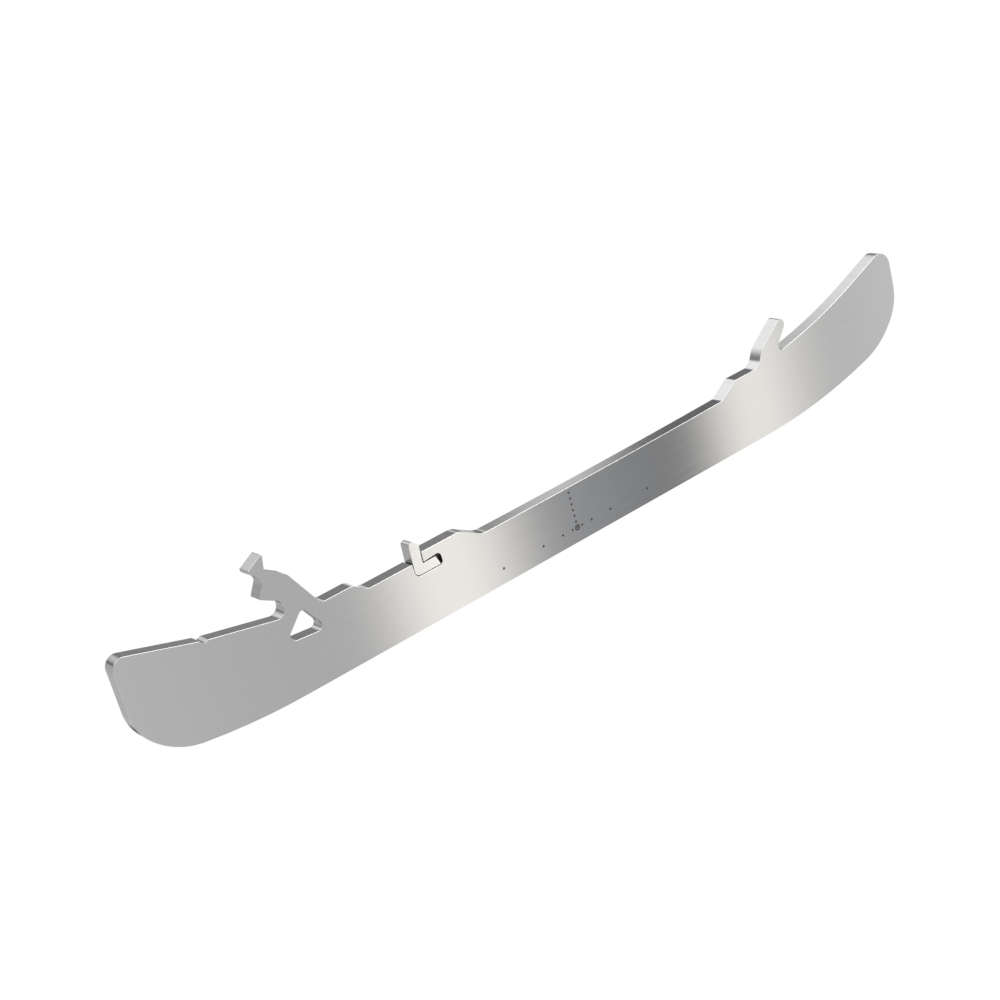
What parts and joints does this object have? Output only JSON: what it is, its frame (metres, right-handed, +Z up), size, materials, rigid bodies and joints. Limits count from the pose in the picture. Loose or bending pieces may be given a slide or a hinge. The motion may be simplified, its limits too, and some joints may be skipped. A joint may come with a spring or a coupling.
{
  "type": "hockey skate runner",
  "caption": "Flat steel ice hockey skate runner with a heel hook, toe hook and stepped seats on top, a rockered ice edge and a sprung ejector clip rocking in its pocket.",
  "frame": {"origin": "on the ice line, at mid-length and in the middle of the steel's thickness", "axes": "+X along the blade from heel to toe, +Y through the steel, +Z up from the ice line"},
  "size_m": [0.255, 0.004, 0.037],
  "materials": {
    "runner_steel": "ground and polished hardened stainless steel plate, laser-cut edges",
    "clip_steel": "satin stainless spring steel"
  },
  "bodies": {
    "blade": {"runner": "runner_steel"},
    "clip": {"ejector_clip": "clip_steel"}
  },
  "joints": [
    {"name": "clip_rock", "type": "hinge", "parent": "blade", "child": "clip", "pos_m": [-0.04705, 0, 0.0147], "axis": [0, -1, 0], "range_deg": [0, 5], "stiffness_Nm_per_rad": 0.001, "springref_deg": -5.73}
  ]
}
